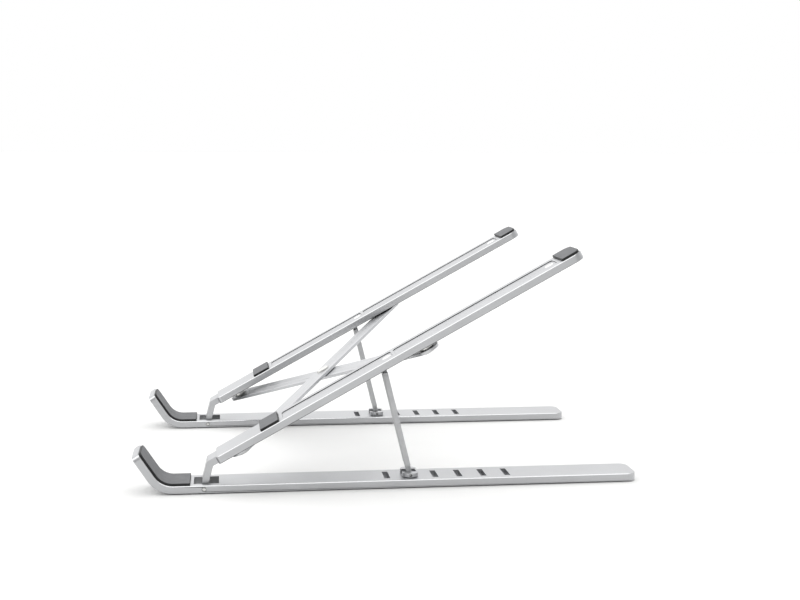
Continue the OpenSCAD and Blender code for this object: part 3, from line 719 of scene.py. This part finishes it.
# Cross pins: two half pins back to back, each with a rounded end. The numbers are the radius and
# half the length in mm, and how square the end is.
pins = {
    "hinge_pin": ("right_base", hingeAt, 1.1, 10.75, 14.0),
    "leg_pin": ("right_deck", legTop, 0.9, 5.8, 14.0),
    "shoe_pin": ("right_shoe", legFoot, 0.65, 7.0, 5.0),
}
for side, sign in sides.items():
    for pin, (body, place, radius, half, squareness) in pins.items():
        middle = Vector((sign * place.x, place.y, place.z))
        makeButtons(side + "_" + pin + "_turned", [
            (middle, (0.0, way * math.pi / 2, 0.0), radius, half) for way in (-1, 1)],
            body.replace("right", side), "steel_pin", [side + "_" + pin], pinSteel, squareness)
print("rivets and pins set")


studio = {
    "floor": ("#f4f4f3", "#f7f7f6"), "floorPatch": 60,   # mm, as for the metals
    "reach": 12,                                         # m from the middle to the floor's edge
    "drop": 0.02,                                        # mm from the feet to the floor
    "skyTop": 0.78, "skyFar": 1.25, "skyNear": 0.55,     # brightness overhead, behind and in front
    "sideBlend": 0.8, "heightBlend": (0.1, 0.9),         # where these blend, as parts of the sky's radius
    "sun": 1.5, "sunWidth": 120, "sunLean": (12, -8),    # W/m2 and degrees
}


def addStudio():
    mesh = bpy.data.meshes.new("floor")
    reach = studio["reach"]
    corners = [(-reach, -reach, 0), (reach, -reach, 0), (reach, reach, 0), (-reach, reach, 0)]
    mesh.from_pydata(corners, [], [(0, 1, 2, 3)])
    floor = bpy.data.objects.new("floor", mesh)
    scene.collection.objects.link(floor)
    floor.location.z = -studio["drop"] * mm
    material, tree, shader, place = newMaterial("paintedBoardMatt")
    setInputs(tree, shader, {
        "Base Color": mottle(tree, place, studio["floorPatch"], studio["floor"]), "Roughness": 0.9})
    mesh.materials.append(material)

    world = bpy.data.worlds.new("softStudio")
    scene.world = world
    world.use_nodes = True
    tree = world.node_tree
    tree.nodes.clear()
    sky = addNode(tree, "ShaderNodeTexCoord").outputs["Generated"]
    way = addNode(tree, "ShaderNodeSeparateXYZ", {0: sky}).outputs
    across = addNode(tree, "ShaderNodeMapRange", {
        "Value": way["X"], "From Min": -studio["sideBlend"], "From Max": studio["sideBlend"],
        "To Min": studio["skyFar"], "To Max": studio["skyNear"]}, interpolation_type="SMOOTHSTEP").outputs[0]
    low, high = studio["heightBlend"]
    height = addNode(tree, "ShaderNodeMapRange", {
        "Value": way["Z"], "From Min": low, "From Max": high}).outputs[0]
    tone = addNode(tree, "ShaderNodeMix", {
        "Factor_Float": height, "A_Float": across, "B_Float": studio["skyTop"]}).outputs[0]
    # The sky lights the stand by its own tones, and shows plain white behind it
    seen = addNode(tree, "ShaderNodeLightPath").outputs["Is Camera Ray"]
    shown = addNode(tree, "ShaderNodeMix", {
        "Factor_Float": seen, "A_Float": tone, "B_Float": 1.0}).outputs[0]
    light = addNode(tree, "ShaderNodeBackground", {"Color": (1.0, 1.0, 1.0, 1.0), "Strength": shown})
    addNode(tree, "ShaderNodeOutputWorld", {"Surface": light.outputs[0]})

    sun = bpy.data.lights.new("softSun", "SUN")
    sun.energy = studio["sun"]
    sun.angle = math.radians(studio["sunWidth"])
    holder = bpy.data.objects.new("softSun", sun)
    holder.rotation_euler = (*(math.radians(lean) for lean in studio["sunLean"]), 0)
    scene.collection.objects.link(holder)
    scene.view_settings.view_transform = "Standard"


addStudio()
print("studio set")
